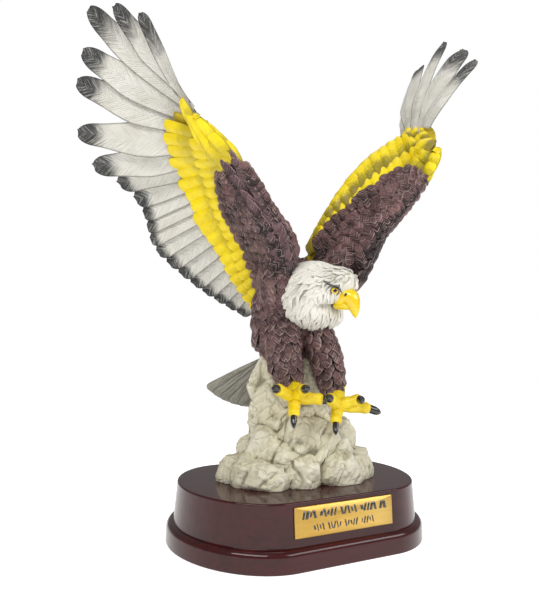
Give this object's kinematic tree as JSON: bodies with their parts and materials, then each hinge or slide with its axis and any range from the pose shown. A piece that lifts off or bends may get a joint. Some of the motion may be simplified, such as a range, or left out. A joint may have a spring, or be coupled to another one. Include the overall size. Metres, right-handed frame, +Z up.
{
  "type": "eagle trophy",
  "caption": "Hand-painted resin eagle with raised wings landing on a rock, on a gloss plinth with a blank brass name plate.",
  "frame": {"origin": "centre of the plinth's underside", "axes": "+Z up; the long front of the plinth, with the name plate, faces -Y; +X is to the right of a person who reads the plate"},
  "size_m": [0.295, 0.154, 0.3958],
  "materials": {
    "painted_resin": "hand-painted resin, matt",
    "rosewood_gloss": "dark rosewood colour under piano gloss lacquer",
    "brushed_brass": "brushed, satin"
  },
  "bodies": {
    "root": {"eagle": "painted_resin", "plinth": "rosewood_gloss", "name_plate": "brushed_brass"}
  },
  "joints": []
}
